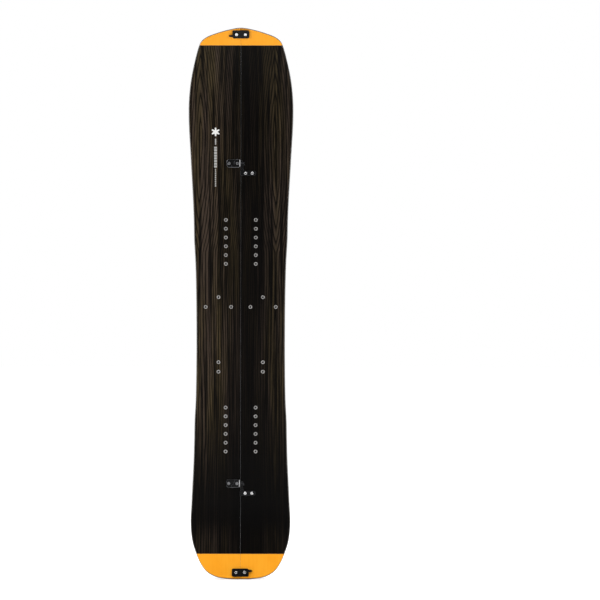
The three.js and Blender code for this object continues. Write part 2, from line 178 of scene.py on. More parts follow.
def tidyMesh(mesh, sharpAngle):
    # Welded, with its faces outwards and its hard corners kept
    bm = bmesh.new()
    bm.from_mesh(mesh)
    bmesh.ops.remove_doubles(bm, verts=bm.verts, dist=1e-7)
    if bm.calc_volume(signed=True) < 0:  # every piece is closed, so its volume tells which way it faces
        bmesh.ops.reverse_faces(bm, faces=bm.faces)
    bm.to_mesh(mesh)
    bm.free()
    mesh.shade_smooth()
    mesh.set_sharp_from_angle(angle=math.radians(sharpAngle))


def ringFaces(rows, around, capped=True, start=0, mirrored=False):
    # Quads of a closed ring carried along rows, with a flat face over each end. A mirrored ring
    # runs the other way round, so its faces are turned over.
    i = np.arange(rows - 1)[:, None] * around
    j = np.arange(around)[None, :]
    k = (j + 1) % around
    quads = np.stack([i + j, i + k, i + around + k, i + around + j], axis=-1).reshape(-1, 4) + start
    faces = quads.tolist()
    if capped:
        last = (rows - 1) * around + start
        faces.append(list(range(start, start + around))[::-1])
        faces.append(list(range(last, last + around)))
    return [f[::-1] for f in faces] if mirrored else faces


def quarter(radius, steps, turn):
    # Points of a quarter circle, as distances in from each of the two faces that it joins
    angle = np.linspace(0, math.pi / 2, steps + 1)
    across, up = radius * (1 - np.cos(angle)), radius * (1 - np.sin(angle))
    return list(zip(across, up)) if turn else list(zip(up, across))[::-1]


def sectionOf(piece):
    # Corners of a layer's section: (follows the outline, inset or x, is on the top face, drop)
    r = piece["round"]
    low, high = piece["inset"]
    outer = [(True, low + a, False, b) for a, b in quarter(piece.get("roundLow", 0.05), 2, False)]
    outer += [(True, high + a, True, -b) for a, b in quarter(r, 3, True)]
    if "inner" in piece:
        x = piece["inner"]
        return [(False, x, False, 0)] + outer + [(False, x + r, True, 0), (False, x, True, -r)]
    back = piece["back"]
    return [(True, back, False, 0)] + outer + [(True, back, True, 0)]


def outlineRows(piece):
    # Points and normals of the outline between the piece's ends, with a point added at each end
    low, high = piece.get("ends", (-beyond, beyond))
    z, x = outlinePoint[:, 1], outlinePoint[:, 0]
    marks = [m for m in (high, low) if z.min() < m < z.max()]
    columns = [x, outlineNormal[:, 0], outlineNormal[:, 1]]
    x, nx, nz = (np.append(c, [np.interp(-m, -z, c) for m in marks]) for c in columns)
    z = np.append(z, marks)
    order = np.lexsort((-x * np.sign(z), -z))
    x, z, nx, nz = (v[order] for v in (x, z, nx, nz))
    keep = (z <= high) & (z >= low)
    if "inner" in piece:
        keep &= x - max(piece["inset"]) * nx > piece["inner"] + 0.5
    return x[keep], z[keep], nx[keep], nz[keep]


def makeHalfPiece(name, side, verts, faces, material, sharpAngle=layerSharp):
    half = "left" if side < 0 else "right"
    return makePiece(f"{half}_{name}", verts, faces, material, f"{half}_half", sharpAngle)


def layerPiece(name, side, piece, low, high, material):
    # One section carried along the outline: every corner keeps its inset from the outline, and the
    # corners at the seam keep their distance from it.
    x, z, nx, nz = outlineRows(piece)
    cap = max(piece["inset"])
    columns = []
    for follows, q, isTop, drop in sectionOf(piece):
        cz = z - (q if follows else cap) * nz
        cx = np.maximum(x - q * nx, board["seamFace"]) if follows else np.full_like(z, q)
        if "ends" in piece:
            cz = np.clip(cz, *piece["ends"])
        columns.append(place(cx, cz, (high if isTop else low)(cz) + drop))
    verts = np.stack(columns, axis=1) * mm
    verts[..., 0] *= side
    return makeHalfPiece(name, side, verts, ringFaces(len(verts), verts.shape[1], mirrored=side > 0),
                         material)


strip = {"rows": 260, "round": 0.15, "sidewallWidth": 5.0}


def seamStrip(name, side, width, low, high, ends, material):
    # A straight strip along the seam, with rounded long corners
    z = np.linspace(ends[0], ends[1], strip["rows"])
    r = strip["round"]
    corners = [(0, False, r), (r, False, 0), (width - r, False, 0), (width, False, r),
               (width, True, -r), (width - r, True, 0), (r, True, 0), (0, True, -r)]
    columns = [place(np.full_like(z, board["seamFace"] + q), z, (high if top else low)(z) + drop)
               for q, top, drop in corners]
    verts = np.stack(columns, axis=1) * mm
    verts[..., 0] *= side
    faces = ringFaces(len(z), len(corners), mirrored=side > 0)
    return makeHalfPiece(name, side, verts, faces, material)


def topsheetAxes(z):
    # Where the topsheet is at z, and its own directions: across, out of the surface, to the nose
    here, ahead, behind = (place(0, v, boardTop(v)) for v in (z, z + 5.0, z - 5.0))
    along = (ahead - behind) / np.linalg.norm(ahead - behind)
    out = np.array([0, -along[2], along[1]])
    return here, np.array([1.0, 0, 0]), out, along


def onTopsheet(local, z, turned):
    # Local (across, height, along) in millimetres to world metres; turned spins it half a turn
    here, across, out, along = topsheetAxes(z)
    s = -1 if turned else 1
    local = np.asarray(local, float)
    return (here + s * local[..., :1] * across + local[..., 1:2] * out + s * local[..., 2:] * along) * mm


def newMaterial(name):
    material = bpy.data.materials.new(name)
    material.use_nodes = True
    tree = material.node_tree
    shader = tree.nodes["Principled BSDF"]
    coords = tree.nodes.new("ShaderNodeTexCoord")
    return material, tree, shader, coords.outputs["Object"]


def node(tree, kind, inputs=None, **values):
    n = tree.nodes.new(kind)
    for key, value in values.items():
        setattr(n, key, value)
    for key, value in (inputs or {}).items():
        if isinstance(value, bpy.types.NodeSocket):
            tree.links.new(value, n.inputs[key])
        else:
            n.inputs[key].default_value = value
    return n


def calc(tree, operation, a, b=None, c=None, clamp=False):
    inputs = {i: v for i, v in enumerate((a, b, c)) if v is not None}
    return node(tree, "ShaderNodeMath", inputs, operation=operation, use_clamp=clamp).outputs[0]


def smooth(tree, value, low, high, outLow=0.0, outHigh=1.0):
    # outLow at low and outHigh at high, with a soft step between them
    inputs = {"Value": value, "From Min": low, "From Max": high, "To Min": outLow, "To Max": outHigh}
    return node(tree, "ShaderNodeMapRange", inputs, interpolation_type="SMOOTHSTEP").outputs[0]


def noise(tree, vector, stretch, detail, roughness=0.55):
    # stretch is how many features lie in a metre along each axis
    moved = node(tree, "ShaderNodeMapping", {"Vector": vector, "Scale": stretch}).outputs[0]
    inputs = {"Vector": moved, "Scale": 1.0, "Detail": detail, "Roughness": roughness}
    return node(tree, "ShaderNodeTexNoise", inputs).outputs["Fac"]


def mixColour(tree, factor, a, b):
    n = tree.nodes.new("ShaderNodeMix")
    n.data_type = "RGBA"
    for socket, value in ((n.inputs[0], factor), (n.inputs[6], a), (n.inputs[7], b)):
        if isinstance(value, bpy.types.NodeSocket):
            tree.links.new(value, socket)
        else:
            socket.default_value = (*value, 1.0) if isinstance(value, tuple) and len(value) == 3 else value
    return n.outputs[2]


def newGroup(name, ins, outs):
    group = bpy.data.node_groups.new(name, "ShaderNodeTree")
    for label, kind, value in ins:
        socket = group.interface.new_socket(name=label, in_out="INPUT", socket_type=kind)
        if value is not None:
            socket.default_value = value
    for label, kind in outs:
        group.interface.new_socket(name=label, in_out="OUTPUT", socket_type=kind)
    return group, group.nodes.new("NodeGroupInput").outputs, group.nodes.new("NodeGroupOutput").inputs


def useGroup(tree, group, inputs):
    return node(tree, "ShaderNodeGroup", inputs, node_tree=group).outputs


def splitVector(tree, vector):
    return node(tree, "ShaderNodeSeparateXYZ", {"Vector": vector}).outputs


def bumpInto(tree, shader, height, strength, distance):
    bump = node(tree, "ShaderNodeBump", {"Height": height, "Strength": strength, "Distance": distance})
    tree.links.new(bump.outputs[0], shader.inputs["Normal"])


def scuffGroup():
    # Fine handling marks and haze: a little lighter and rougher where the noise peaks
    group, gin, gout = newGroup(
        "handlingScuffs",
        [("Vector", "NodeSocketVector", None), ("Roughness", "NodeSocketFloat", 0.3),
         ("Spread", "NodeSocketFloat", 0.08)],
        [("Roughness", "NodeSocketFloat"), ("Mask", "NodeSocketFloat"), ("Height", "NodeSocketFloat")])
    haze = noise(group, gin["Vector"], (9, 9, 4), 4.0)
    hair = noise(group, gin["Vector"], (900, 900, 35), 2.0)
    mask = smooth(group, hair, 0.62, 0.74)
    shift = calc(group, "MULTIPLY", calc(group, "SUBTRACT", haze, 0.5), gin["Spread"])
    rough = calc(group, "ADD", gin["Roughness"], shift)
    rough = calc(group, "MULTIPLY_ADD", mask, 0.06, rough, True)
    group.links.new(rough, gout["Roughness"])
    group.links.new(mask, gout["Mask"])
    group.links.new(hair, gout["Height"])
    return group


flameGrain = {
    "axis": 0.109, "axisShift": -0.0095,  # off the seam, further in the left half than in the right
    "ringWidth": 0.024, "sway": 0.03, "warp": 0.85, "rings": 2.9, "curve": 1.15,
    "middle": 0.442, "reach": 0.262, "levelsOff": 1.25,
}


def grainGroup():
    # Bookmatched flame grain. Growth rings are nested pointed arches about an axis in each half:
    # the ring number grows with the distance off the axis and with the square of the distance
    # from the middle of the flame, and levels off past its ends, where the lines run straight.
    group, gin, gout = newGroup(
        "bookmatchedAsh", [("Vector", "NodeSocketVector", None)],
        [("Rings", "NodeSocketFloat"), ("Pores", "NodeSocketFloat"), ("Streaks", "NodeSocketFloat"),
         ("Flame", "NodeSocketFloat")])
    x, _, z = splitVector(group, gin["Vector"])
    side = calc(group, "SIGN", x)
    across = calc(group, "ABSOLUTE", x)
    apart = calc(group, "MULTIPLY", side, 0.004)  # the two halves differ a little, as real veneers do
    mirrored = node(group, "ShaderNodeCombineXYZ", {"X": across, "Y": apart, "Z": z}).outputs[0]
    warp = calc(group, "SUBTRACT", noise(group, mirrored, (14, 1, 3.2), 3.0), 0.5)
    sway = calc(group, "SUBTRACT", noise(group, mirrored, (4, 1, 1.3), 2.0), 0.5)
    axis = calc(group, "MULTIPLY_ADD", side, flameGrain["axisShift"], flameGrain["axis"])
    off = calc(group, "MULTIPLY_ADD", sway, flameGrain["sway"], calc(group, "SUBTRACT", across, axis))
    off = calc(group, "DIVIDE", calc(group, "ABSOLUTE", off), flameGrain["ringWidth"])
    up = calc(group, "DIVIDE", calc(group, "SUBTRACT", z, flameGrain["middle"]), flameGrain["reach"])
    arch = calc(group, "POWER", calc(group, "ABSOLUTE", up), 2.0)
    arch = calc(group, "MINIMUM", arch, flameGrain["levelsOff"])
    flame = calc(group, "ADD", calc(group, "POWER", off, flameGrain["curve"]), arch)
    ringNumber = calc(group, "MULTIPLY_ADD", warp, flameGrain["warp"], flame)
    turns = calc(group, "FRACT", calc(group, "MULTIPLY", ringNumber, flameGrain["rings"]))
    rings = calc(group, "MULTIPLY", smooth(group, turns, 0.0, 0.5), smooth(group, turns, 1.0, 0.82))
    group.links.new(rings, gout["Rings"])
    pores = smooth(group, noise(group, mirrored, (1100, 1, 16), 2.0), 0.42, 0.66)
    group.links.new(pores, gout["Pores"])
    group.links.new(noise(group, mirrored, (120, 1, 2.4), 5.0, 0.65), gout["Streaks"])
    group.links.new(smooth(group, flame, 1.1, 0.2), gout["Flame"])
    return group


def toolLineGroup():
    # Fine tool lines along the board, and a soft haze
    group, gin, gout = newGroup("toolLines", [("Vector", "NodeSocketVector", None)],
                                [("Lines", "NodeSocketFloat"), ("Haze", "NodeSocketFloat")])
    group.links.new(noise(group, gin["Vector"], (2600, 2600, 160), 2.0), gout["Lines"])
    group.links.new(noise(group, gin["Vector"], (60, 60, 60), 3.0), gout["Haze"])
    return group


scuffs = scuffGroup()
ashGrain = grainGroup()
toolLines = toolLineGroup()


inkBleed = 0.0003  # half the width over which a printed edge fades


def inside(tree, distance, limit):
    # One up to the limit and nothing past it
    return smooth(tree, distance, limit + inkBleed, limit - inkBleed)


def boxMask(tree, x, z, centre, half):
    # A box across and along the board
    dx = calc(tree, "ABSOLUTE", calc(tree, "SUBTRACT", x, centre[0]))
    dz = calc(tree, "ABSOLUTE", calc(tree, "SUBTRACT", z, centre[1]))
    return calc(tree, "MULTIPLY", inside(tree, dx, half[0]), inside(tree, dz, half[1]))


crystalBarbs = [(0.34, 0.22), (0.62, 0.2)]  # each pair's place on the arm and length, of the radius


def crystalMask(tree, x, z, centre, radius, armWidth):
    # A six-armed snow crystal: the angle is folded into one sixth of a turn, and each arm carries
    # two pairs of barbs at sixty degrees
    dx = calc(tree, "SUBTRACT", x, centre[0])
    dz = calc(tree, "SUBTRACT", z, centre[1])
    squares = [calc(tree, "MULTIPLY", d, d) for d in (dx, dz)]
    reach = calc(tree, "SQRT", calc(tree, "ADD", *squares))
    fold = calc(tree, "PINGPONG", calc(tree, "ARCTAN2", dx, dz), math.pi / 6)
    along = calc(tree, "MULTIPLY", reach, calc(tree, "COSINE", fold))
    aside = calc(tree, "MULTIPLY", reach, calc(tree, "SINE", fold))
    mask = calc(tree, "MULTIPLY", inside(tree, aside, armWidth * 0.5), inside(tree, along, radius))
    for start, size in crystalBarbs:
        # distance from a line that leaves the arm at sixty degrees
        past = calc(tree, "SUBTRACT", along, radius * start)
        leans = [calc(tree, "MULTIPLY", aside, math.cos(math.pi / 3)),
                 calc(tree, "MULTIPLY", past, math.sin(math.pi / 3))]
        line = calc(tree, "ABSOLUTE", calc(tree, "SUBTRACT", *leans))
        barb = calc(tree, "MULTIPLY", inside(tree, line, armWidth * 0.4), inside(tree, aside, radius * size))
        mask = calc(tree, "MAXIMUM", mask, barb)
    return mask


veneer = {
    "light": (0.052, 0.038, 0.019), "warm": (0.052, 0.037, 0.027), "dark": (0.0017, 0.0015, 0.0015),
    "pore": (0.0010, 0.0009, 0.0009), "roughness": 0.38, "specular": 0.04,
    # the stain's tone: from one distance to another, from one strength to another
    "leftTone": (0.0, 0.115, 0.24, 0.92), "rightTone": (0.03, 0.125, 0.08, 0.50),
    "tailTone": (-0.60, -0.14, 0.07, 1.0), "tailTipTone": (-0.62, -0.70, 0.0, 0.34),
    "streaks": (0.40, 0.60, 0.16, 1.75),
    "ink": (0.74, 0.74, 0.72), "emblem": (-0.0735, 0.496), "emblemRadius": 0.0122, "emblemArm": 0.0034,
    # columns of plain blocks: middle, half length, half width, pitch of the blocks
    "tagInk": 0.45, "tagX": -0.0735,
    "tags": [(0.4225, 0.0305, 0.0040, 0.0078), (0.3630, 0.0260, 0.0016, 0.0060),
             (0.4660, 0.0100, 0.0018, 0.0300)],
}


def veneerMaterial():
    # Dark stained ash under a satin clear coat, printed with the emblem and the blocks
    material, tree, shader, coords = newMaterial("stainedAsh")
    x, _, z = splitVector(tree, coords)
    grain = useGroup(tree, ashGrain, {"Vector": coords})
    marks = useGroup(tree, scuffs, {"Vector": coords, "Roughness": veneer["roughness"], "Spread": 0.1})
    # the left half is lighter, both halves are lighter outwards, and the tail is stained darkest
    across = calc(tree, "ABSOLUTE", x)
    leftTone = smooth(tree, across, *veneer["leftTone"])
    rightTone = smooth(tree, across, *veneer["rightTone"])
    isRight = smooth(tree, x, -0.0004, 0.0004)
    tone = calc(tree, "MULTIPLY_ADD", isRight, calc(tree, "SUBTRACT", rightTone, leftTone), leftTone)
    lengthwise = calc(tree, "ADD", *(smooth(tree, z, *veneer[k]) for k in ("tailTone", "tailTipTone")))
    tone = calc(tree, "MULTIPLY", tone, lengthwise)
    # dark growth lines with finer streaks between them, and pores drawn through both
    streak = smooth(tree, grain["Streaks"], *veneer["streaks"])
    lines = calc(tree, "MULTIPLY", calc(tree, "MULTIPLY_ADD", grain["Rings"], 0.96, 0.04), streak)
    lines = calc(tree, "MULTIPLY", lines, calc(tree, "MULTIPLY_ADD", grain["Flame"], 0.35, 0.95))
    cast = noise(tree, coords, (26, 1, 2.2), 2.0)
    light = mixColour(tree, smooth(tree, cast, 0.38, 0.62), veneer["light"], veneer["warm"])
    wood = mixColour(tree, calc(tree, "MULTIPLY", tone, lines, None, True), veneer["dark"], light)
    wood = mixColour(tree, calc(tree, "MULTIPLY", grain["Pores"], 0.55), wood, veneer["pore"])
    marked = crystalMask(tree, x, z, veneer["emblem"], veneer["emblemRadius"], veneer["emblemArm"])
    for cz, halfLength, halfWidth, pitch in veneer["tags"]:
        # the distance from the middle of a block, in pitches, leaves a gap between blocks
        step = calc(tree, "FRACT", calc(tree, "DIVIDE", calc(tree, "SUBTRACT", z, cz - halfLength), pitch))
        block = smooth(tree, calc(tree, "ABSOLUTE", calc(tree, "SUBTRACT", step, 0.5)), 0.42, 0.38)
        column = boxMask(tree, x, z, (veneer["tagX"], cz), (halfWidth, halfLength))
        printed = calc(tree, "MULTIPLY", calc(tree, "MULTIPLY", column, block), veneer["tagInk"])
        marked = calc(tree, "MAXIMUM", marked, printed)
    colour = mixColour(tree, marked, wood, veneer["ink"])
    tree.links.new(colour, shader.inputs["Base Color"])
    tree.links.new(marks["Roughness"], shader.inputs["Roughness"])
    shader.inputs["Specular IOR Level"].default_value = veneer["specular"]
    height = calc(tree, "MULTIPLY_ADD", grain["Pores"], -0.6, calc(tree, "MULTIPLY", grain["Rings"], 0.5))
    bumpInto(tree, shader, height, 0.25, 0.0001)
    return material


inlay = {"deep": (0.83, 0.315, 0.012), "milky": (0.88, 0.365, 0.022), "roughness": 0.36, "specular": 0.15}


def inlayMaterial():
    # Orange plastic with a faint milky cloud and fine lines along the board
    material, tree, shader, coords = newMaterial("orangeInlay")
    marks = useGroup(tree, scuffs, {"Vector": coords, "Roughness": inlay["roughness"], "Spread": 0.12})
    cloud = noise(tree, coords, (22, 22, 9), 4.0)
    lines = noise(tree, coords, (420, 1, 6), 3.0)
    tone = calc(tree, "MULTIPLY_ADD", lines, 0.35, calc(tree, "MULTIPLY", cloud, 0.65))
    colour = mixColour(tree, smooth(tree, tone, 0.3, 0.7), inlay["deep"], inlay["milky"])
    tree.links.new(colour, shader.inputs["Base Color"])
    tree.links.new(marks["Roughness"], shader.inputs["Roughness"])
    shader.inputs["Specular IOR Level"].default_value = inlay["specular"]
    bumpInto(tree, shader, calc(tree, "ADD", lines, marks["Height"]), 0.12, 0.0001)
    return material


runningBase = {
    "colour": (0.0012, 0.0012, 0.0013), "wax": (0.0036, 0.0036, 0.0038), "scratch": (0.05, 0.05, 0.052),
    "roughness": 0.2, "specular": 0.16,
    "ink": (0.86, 0.86, 0.86), "crystal": (-0.0761, 0.532), "crystalRadius": 0.047, "crystalArm": 0.0085,
    # each bar's middle and half width across the board
    "bars": [(0.0255, 0.0050), (0.047, 0.0035), (0.0665, 0.00425), (0.087, 0.0030), (0.1095, 0.0060)],
    "barHalfHeight": 0.0105, "barZ": -0.5787,
}


def baseMaterial():
    # Black sintered base: structure ground lengthwise into it, wax haze, and inlaid pale marks
    material, tree, shader, coords = newMaterial("waxedBase")
    x, _, z = splitVector(tree, coords)
    marks = useGroup(tree, scuffs, {"Vector": coords, "Roughness": runningBase["roughness"], "Spread": 0.14})
    grind = noise(tree, coords, (1500, 1, 5), 2.0)
    wax = noise(tree, coords, (16, 16, 7), 5.0)
    colour = mixColour(tree, smooth(tree, wax, 0.35, 0.75), runningBase["colour"], runningBase["wax"])
    colour = mixColour(tree, calc(tree, "MULTIPLY", marks["Mask"], 0.10), colour, runningBase["scratch"])
    ink = crystalMask(tree, x, z, runningBase["crystal"], runningBase["crystalRadius"],
                      runningBase["crystalArm"])
    for cx, half in runningBase["bars"]:
        bar = boxMask(tree, x, z, (cx, runningBase["barZ"]), (half, runningBase["barHalfHeight"]))
        ink = calc(tree, "MAXIMUM", ink, bar)
    tree.links.new(mixColour(tree, ink, colour, runningBase["ink"]), shader.inputs["Base Color"])
    gloss = calc(tree, "MULTIPLY_ADD", grind, 0.08, marks["Roughness"])
    tree.links.new(gloss, shader.inputs["Roughness"])
    shader.inputs["Specular IOR Level"].default_value = runningBase["specular"]
    bumpInto(tree, shader, grind, 0.18, 0.00008)
    return material


# painted shade down a bore: its colour, its strength, and the depths below the rim where it starts and where
# it is full
paintedBoreShade = {"colour": (0.006, 0.006, 0.006), "strength": 0.95, "depth": (0.00008, 0.0005)}


def steelMaterial(name, colour, roughness, mouth=None):
    # Tool lines in the gloss. mouth is the height of a bore's rim, below which painted shade darkens the metal
    # down the bore.
    material, tree, shader, coords = newMaterial(name)
    lines = useGroup(tree, toolLines, {"Vector": coords})
    shade = mixColour(tree, lines["Haze"], tuple(0.82 * c for c in colour), colour)
    if mouth is not None:
        start, full = (depth - mouth for depth in paintedBoreShade["depth"])
        # painted shade: the metal darkens from the first depth below the rim to the second
        depth = smooth(tree, splitVector(tree, coords)[1], start, full, 0.0, paintedBoreShade["strength"])
        shade = mixColour(tree, depth, shade, paintedBoreShade["colour"])
    tree.links.new(shade, shader.inputs["Base Color"])
    gloss = calc(tree, "MULTIPLY_ADD", lines["Lines"], 0.14, roughness - 0.07)
    tree.links.new(gloss, shader.inputs["Roughness"])
    shader.inputs["Metallic"].default_value = 1.0
    bumpInto(tree, shader, lines["Lines"], 0.2, 0.00005)
    return material


def plasticMaterial(name, colour, roughness, speckle, stretch=(300, 300, 300)):
    # Milled or moulded plastic: a fine grain in colour, roughness and height
    material, tree, shader, coords = newMaterial(name)
    grainy = noise(tree, coords, stretch, 3.0)
    marks = useGroup(tree, scuffs, {"Vector": coords, "Roughness": roughness, "Spread": 0.12})
    pale = tuple(min(1.0, c * speckle) for c in colour)
    shade = mixColour(tree, smooth(tree, grainy, 0.35, 0.7), colour, pale)
    tree.links.new(shade, shader.inputs["Base Color"])
    tree.links.new(marks["Roughness"], shader.inputs["Roughness"])
    bumpInto(tree, shader, grainy, 0.2, 0.0001)
    return material


# the pale colour of the highlight painted on the hooks and beds, and how softly its sides fade
anodised = {"colour": (0.0030, 0.0030, 0.0034), "worn": (0.12, 0.12, 0.13), "bare": (0.44, 0.44, 0.45),
            "bareFade": 0.0002, "roughness": 0.4, "specular": 0.14}


def anodisedMaterial(name, bare=None):
    # Black anodised aluminium, blasted matt, with faint rubbed patches. Between the two given distances
    # across the board a pale band is painted on the face as a highlight along the lip.
    material, tree, shader, coords = newMaterial(name)
    blast = noise(tree, coords, (2200, 2200, 2200), 1.0)
    rub = noise(tree, coords, (120, 120, 90), 4.0)
    marks = useGroup(tree, scuffs, {"Vector": coords, "Roughness": anodised["roughness"], "Spread": 0.15})
    worn = calc(tree, "MULTIPLY", smooth(tree, rub, 0.58, 0.72), marks["Mask"])
    colour = mixColour(tree, calc(tree, "MULTIPLY", worn, 0.5), anodised["colour"], anodised["worn"])
    if bare is not None:
        middle, half = (bare[0] + bare[1]) / 2, (bare[1] - bare[0]) / 2
        off = calc(tree, "ABSOLUTE", calc(tree, "SUBTRACT", splitVector(tree, coords)[0], middle))
        paintedHighlightMask = smooth(tree, off, half + anodised["bareFade"], half - anodised["bareFade"])
        colour = mixColour(tree, paintedHighlightMask, colour, anodised["bare"])
    tree.links.new(colour, shader.inputs["Base Color"])
    tree.links.new(marks["Roughness"], shader.inputs["Roughness"])
    shader.inputs["Specular IOR Level"].default_value = anodised["specular"]
    bumpInto(tree, shader, blast, 0.15, 0.00006)
    return material


finishes = {
    "veneer": veneerMaterial(),
    "orange": inlayMaterial(),
    "base": baseMaterial(),
    "edge": steelMaterial("groundEdgeSteel", (0.17, 0.17, 0.18), 0.36),
    # the insert steel is darkened with painted shade below the topsheet's face, down each bore
    "insert": steelMaterial("turnedInsertSteel", (0.40, 0.39, 0.38), 0.40, boardTop(0.0) * mm),
    "screw": steelMaterial("brightScrewSteel", (0.72, 0.72, 0.73), 0.24),
    # a darker copy of the bright screw steel, painted shade for the screws on the left half's seam clips
    "paintedShadeScrew": steelMaterial("paintedShadeScrewSteel", (0.22, 0.22, 0.23), 0.30),
    "chamfer": steelMaterial("cutAluminium", (0.28, 0.285, 0.30), 0.32),
    "darkChamfer": steelMaterial("anodisedChamfer", (0.13, 0.13, 0.14), 0.34),
    "clip": anodisedMaterial("blackAnodised"),
    # the bed and the hook carry a painted highlight between these two distances across the board
    "bed": anodisedMaterial("bedAnodised", (-0.0031, 0.0)),
    "hook": anodisedMaterial("hookAnodised", (-0.0042, -0.0020)),
    "sidewall": plasticMaterial("milledSidewall", (0.050, 0.043, 0.034), 0.5, 1.8, (500, 500, 40)),
    "spacer": plasticMaterial("tipSpacer", (0.034, 0.029, 0.023), 0.5, 1.6),
    "laminate": plasticMaterial("glassLaminate", (0.055, 0.057, 0.062), 0.35, 1.5, (900, 900, 120)),
    "core": plasticMaterial("poplarCore", (0.52, 0.34, 0.17), 0.6, 1.4, (400, 60, 8)),
}
print("materials ready")


inEdge = board["edgeWidth"] + board["bond"]
seamEdgeEnd = board["edgeWidth"] + 0.5
tailJoint, noseJoint = board["veneerEnds"][0] - board["bond"], board["veneerEnds"][1] + board["bond"]
spacerEnds = (board["coreEnds"][0] - 0.5, board["coreEnds"][1] + 0.5)
# inset: in from the outline at the low and the high face; inner: the distance from the seam;
# back: how far in a piece without a seam face reaches; ends: where it stops along the board;
# round and roundLow: the radii of its high and low outer corners
layers = {
    "base": {"inset": (inEdge, inEdge), "inner": board["seam"] + inEdge, "round": 0.05},
    "lowerLaminate": {"inset": (inEdge, inEdge), "inner": board["seam"] + inEdge, "round": 0.05},
    "upperLaminate": {"inset": (2.1, 2.25), "inner": board["seamFace"], "round": 0.05},
    "topsheet": {"inset": (2.3, 2.45), "inner": 0.45, "round": 0.35, "ends": board["veneerEnds"]},
    "noseInlay": {"inset": (0.9, 1.1), "inner": 0.2, "round": 0.35, "ends": (noseJoint, beyond)},
    "tailInlay": {"inset": (0.9, 1.1), "inner": 0.2, "round": 0.35, "ends": (-beyond, tailJoint)},
    "outerEdge": {"inset": (0.0, 0.0), "back": board["edgeWidth"], "round": 0.25, "roundLow": 0.15},
    "outerSidewall": {"inset": (0.25, 2.0), "back": 9.0, "round": 0.2, "ends": (-649, 649)},
    "noseSpacer": {"inset": (0.3, 0.9), "inner": board["seamFace"], "round": 0.2,
                   "ends": (spacerEnds[1], beyond)},
    "tailSpacer": {"inset": (0.3, 0.9), "inner": board["seamFace"], "round": 0.2,
                   "ends": (-beyond, spacerEnds[0])},
}
pitch = 25.4  # of the binding inserts
inserts = {
    "front_binding_inserts": [(43.3, 241.5 - pitch * i) for i in range(6)],
    "rear_binding_inserts": [(43.3, -301 - pitch * i) for i in range(6)],
    "touring_inserts": [(27.9, -10.1), (64.2, 18.2), (101.3, -10.1)],
    "heel_inserts": [(64.2, -169.8), (64.2, -197.3)],
}
insert = {
    "radius": 5.4, "bore": 2.45, "low": 2.8, "bevel": 0.3,
    "mouth": 0.75, "lead": 0.2, "leadDepth": 0.45,  # the countersink above the thread
    "threadTop": 0.5, "threadFloor": 1.2, "threadPitch": 1.0, "threadDepth": 0.35, "threadRows": 44,
    "drillPoint": 0.4, "around": 48, "sharpAngle": 50,
    "holeClearance": 0.1, "holeAround": 64, "holeFrom": 4.5, "holeTo": 24.5,
}


def lathe(profile, around, centre, height, wave):
    # A profile of (radius, height) turned about the local normal; wave gives each point its radius
    profile = np.array(profile, float)
    angle = np.linspace(0, 2 * math.pi, around, endpoint=False)
    radius = np.repeat(profile[:, :1], around, axis=1)
    up = np.repeat(profile[:, 1:], around, axis=1)
    radius = wave(radius, up, angle[None, :])
    x, z = centre[0] + radius * np.cos(angle), centre[1] + radius * np.sin(angle)
    return np.stack([x, height + up, z], axis=-1)


def insertSurface(centre, side):
    # A flanged barrel with a bevelled rim, and a thread whose radius swings with height and angle
    top, r, bore, bevel = boardTop(0.0), insert["radius"], insert["bore"], insert["bevel"]
    floor = insert["low"] - top
    depth = np.linspace(-insert["threadTop"], floor + insert["threadFloor"], insert["threadRows"])
    profile = [(0.0, floor), (r, floor), (r, -bevel), (r - bevel, 0.0),
               (bore + insert["mouth"], 0.0), (bore + insert["lead"], -insert["leadDepth"])]
    profile += [(bore, d) for d in depth] + [(0.0, depth[-1] - insert["drillPoint"])]

    def thread(radius, up, angle):
        inBore = np.abs(radius - bore) < 0.01
        phase = up / insert["threadPitch"] - angle / (2 * math.pi)
        tooth = np.abs(phase - np.floor(phase + 0.5)) * 2 - 0.5
        return radius + np.where(inBore, insert["threadDepth"] * tooth, 0)
    ring = lathe(profile, insert["around"], (side * centre[0], centre[1]), 0.0, thread)
    world = np.stack([ring[..., 0], -(ring[..., 1] + top), ring[..., 2]], axis=-1)
    return world * mm


def holeCutter(points, side):
    # One cylinder square to the topsheet at each insert
    bm = bmesh.new()
    radius = (insert["radius"] + insert["holeClearance"]) * mm
    low, high = insert["holeFrom"] * mm, insert["holeTo"] * mm
    alongY = Matrix.Rotation(math.pi / 2, 3, "X")
    for x, z in points:
        made = bmesh.ops.create_cone(bm, cap_ends=True, segments=insert["holeAround"], radius1=radius,
                                     radius2=radius, depth=high - low)
        bmesh.ops.rotate(bm, verts=made["verts"], cent=(0, 0, 0), matrix=alongY)
        bmesh.ops.translate(bm, verts=made["verts"], vec=(side * x * mm, -(low + high) / 2, z * mm))
    mesh = bpy.data.meshes.new("holeCutter")
    bm.to_mesh(mesh)
    bm.free()
    cutter = bpy.data.objects.new("holeCutter", mesh)
    bpy.context.scene.collection.objects.link(cutter)
    return cutter


def volumeOf(mesh):
    bm = bmesh.new()
    bm.from_mesh(mesh)
    volume = bm.calc_volume(signed=True)
    bm.free()
    return volume


def drill(obj, cutter):
    # A cut that failed leaves the sheet whole or inside out, and its volume shows it
    cut = obj.modifiers.new("holes", "BOOLEAN")
    cut.object = cutter
    cut.operation = "DIFFERENCE"
    cut.solver = "MANIFOLD"
    bpy.context.view_layer.update()
    done = bpy.data.meshes.new_from_object(obj.evaluated_get(bpy.context.evaluated_depsgraph_get()))
    if not 0 < volumeOf(done) < volumeOf(obj.data):
        raise RuntimeError(f"the holes were not cut in {obj.name}")
    obj.modifiers.clear()
    old, obj.data = obj.data, done
    bpy.data.meshes.remove(old)
    done.shade_smooth()
    done.set_sharp_from_angle(angle=math.radians(layerSharp))


